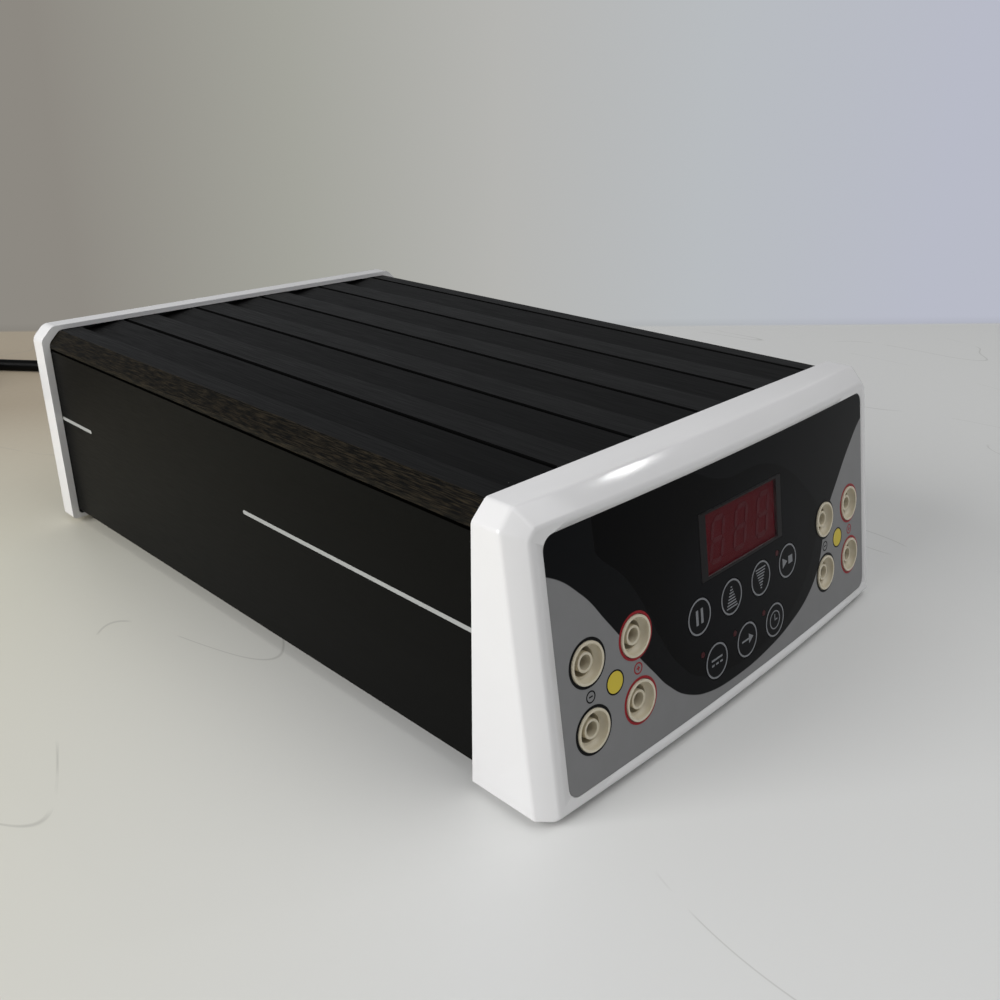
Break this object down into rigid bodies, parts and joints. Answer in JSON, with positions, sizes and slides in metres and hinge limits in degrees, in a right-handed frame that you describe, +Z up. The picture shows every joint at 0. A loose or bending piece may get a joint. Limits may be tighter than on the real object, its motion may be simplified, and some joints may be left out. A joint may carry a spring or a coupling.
{
  "type": "electrophoresis power supply",
  "caption": "Bench power supply for electrophoresis: black extruded case between white bezels, leaning front with keys, red display and safety sockets, mains lead at the rear.",
  "frame": {"origin": "on the bench, under the middle of the case without its mains lead", "axes": "+Z up; the control panel faces -Y; seen from the front, +X is to the right"},
  "size_m": [0.255, 0.6025, 0.084],
  "materials": {
    "bezel_white": "smooth moulded, satin gloss",
    "film_grey": "printed polycarbonate film, black over grey",
    "window_tint": "smoked window, glossy",
    "display_maroon": "moulded display block, dark red face",
    "digit_red": "unlit diffused segment, satin",
    "socket_ivory": "moulded nylon, ivory, satin",
    "contact_brass": "nickel-plated brass, bright",
    "key_black": "printed film over a dome, satin",
    "switch_black": "moulded, satin",
    "lamp_red": "unlit red lamp, diffused",
    "board_green": "glass-epoxy board with solder mask",
    "case_black": "black anodised extrusion, brushed on top",
    "screw_steel": "zinc-plated steel",
    "panel_black": "powder coat, fine grain",
    "pin_metal": "nickel-plated, bright",
    "fuse_glass": "glass tube with plated caps",
    "core_ferrite": "sintered ferrite, matt",
    "winding_tape": "polyester tape over the winding",
    "capacitor_sleeve": "shrink sleeve, glossy",
    "sink_aluminium": "plain extrusion",
    "foot_rubber": "moulded rubber, matt",
    "lead_black": "moulded flexible PVC, satin"
  },
  "bodies": {
    "root": {"base_shell": "case_black", "bezel_screws": "screw_steel", "board_screws": "screw_steel", "capacitors": "capacitor_sleeve", "contact_left_negative_lower": "contact_brass", "contact_left_negative_upper": "contact_brass", "contact_left_positive_lower": "contact_brass", "contact_left_positive_upper": "contact_brass", "contact_right_negative_lower": "contact_brass", "contact_right_negative_upper": "contact_brass", "contact_right_positive_lower": "contact_brass", "contact_right_positive_upper": "contact_brass", "display_block": "display_maroon", "display_digits": "digit_red", "display_window": "window_tint", "foot_front_left": "foot_rubber", "foot_front_right": "foot_rubber", "foot_rear_left": "foot_rubber", "foot_rear_right": "foot_rubber", "front_bezel": "bezel_white", "front_board": "board_green", "heat_sink": "sink_aluminium", "inlet_housing": "switch_black", "inlet_pins": "pin_metal", "inlet_screws": "screw_steel", "key_lamps": "lamp_red", "key_switches": "switch_black", "lead_coil": "lead_black", "lead_connector": "lead_black", "main_board": "board_green", "mains_lead": "lead_black", "mains_plug": "lead_black", "output_boards": "board_green", "panel_film": "film_grey", "plug_pins": "contact_brass", "rear_bezel": "bezel_white", "rear_panel": "panel_black", "socket_left_negative_lower": "socket_ivory", "socket_left_negative_upper": "socket_ivory", "socket_left_positive_lower": "socket_ivory", "socket_left_positive_upper": "socket_ivory", "socket_right_negative_lower": "socket_ivory", "socket_right_negative_upper": "socket_ivory", "socket_right_positive_lower": "socket_ivory", "socket_right_positive_upper": "socket_ivory", "switch_housing": "switch_black", "top_cover": "case_black", "transformer_core": "core_ferrite", "transformer_winding": "winding_tape", "transistors": "switch_black"},
    "key_pause": {"key_pause": "key_black"},
    "key_up": {"key_up": "key_black"},
    "key_down": {"key_down": "key_black"},
    "key_start": {"key_start": "key_black"},
    "key_voltage": {"key_voltage": "key_black"},
    "key_current": {"key_current": "key_black"},
    "key_time": {"key_time": "key_black"},
    "switch_rocker": {"switch_rocker": "switch_black"},
    "fuse_drawer": {"fuse_drawer": "switch_black", "fuse_links": "fuse_glass"}
  },
  "joints": [
    {"name": "pause_key_press", "type": "slide", "parent": "root", "child": "key_pause", "axis": [0.016, 0.9856, -0.1685], "range_m": [0, 0.0004], "stiffness_N_per_m": 3000, "springref_m": -0.0001},
    {"name": "up_key_press", "type": "slide", "parent": "root", "child": "key_up", "axis": [0.0048, 0.9857, -0.1685], "range_m": [0, 0.0004], "stiffness_N_per_m": 3000, "springref_m": -0.0001},
    {"name": "down_key_press", "type": "slide", "parent": "root", "child": "key_down", "axis": [-0.0064, 0.9857, -0.1685], "range_m": [0, 0.0004], "stiffness_N_per_m": 3000, "springref_m": -0.0001},
    {"name": "start_key_press", "type": "slide", "parent": "root", "child": "key_start", "axis": [-0.0176, 0.9856, -0.1685], "range_m": [0, 0.0004], "stiffness_N_per_m": 3000, "springref_m": -0.0001},
    {"name": "voltage_key_press", "type": "slide", "parent": "root", "child": "key_voltage", "axis": [0.0111, 0.9856, -0.1685], "range_m": [0, 0.0004], "stiffness_N_per_m": 3000, "springref_m": -0.0001},
    {"name": "current_key_press", "type": "slide", "parent": "root", "child": "key_current", "axis": [-0.0001, 0.9857, -0.1685], "range_m": [0, 0.0004], "stiffness_N_per_m": 3000, "springref_m": -0.0001},
    {"name": "time_key_press", "type": "slide", "parent": "root", "child": "key_time", "axis": [-0.0114, 0.9856, -0.1685], "range_m": [0, 0.0004], "stiffness_N_per_m": 3000, "springref_m": -0.0001},
    {"name": "rocker_tip", "type": "hinge", "parent": "root", "child": "switch_rocker", "pos_m": [0, 0.13563, 0.044], "axis": [-1, 0, 0], "range_deg": [0, 22]},
    {"name": "fuse_drawer_slide", "type": "slide", "parent": "root", "child": "fuse_drawer", "axis": [0, 1, 0], "range_m": [0, 0.016]}
  ]
}
